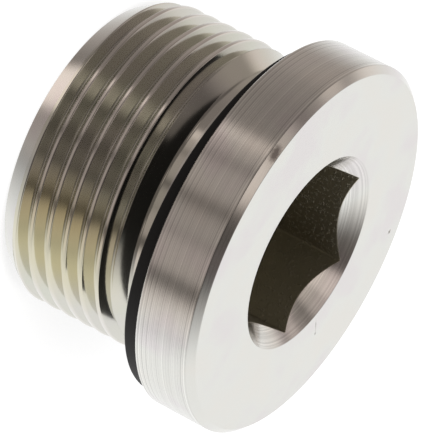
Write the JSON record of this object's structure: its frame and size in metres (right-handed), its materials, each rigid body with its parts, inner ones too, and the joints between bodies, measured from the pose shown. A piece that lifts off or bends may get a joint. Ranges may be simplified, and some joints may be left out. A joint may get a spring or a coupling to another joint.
{
  "type": "hex socket plug",
  "caption": "Flanged screw plug with a countersunk hexagon socket and a soft sealing ring behind the flange, for closing a threaded port.",
  "frame": {"origin": "centre of the shank's end face, on which the plug stands", "axes": "+Z along the plug's axis, out of the hexagon socket; a corner of the hexagon lies towards +X"},
  "size_m": [0.0398, 0.0398, 0.026],
  "materials": {
    "plated_steel": "zinc plated, as turned",
    "seal_rubber": "smooth black elastomer"
  },
  "bodies": {
    "root": {"plug_body": "plated_steel", "seal_ring": "seal_rubber"}
  },
  "joints": []
}
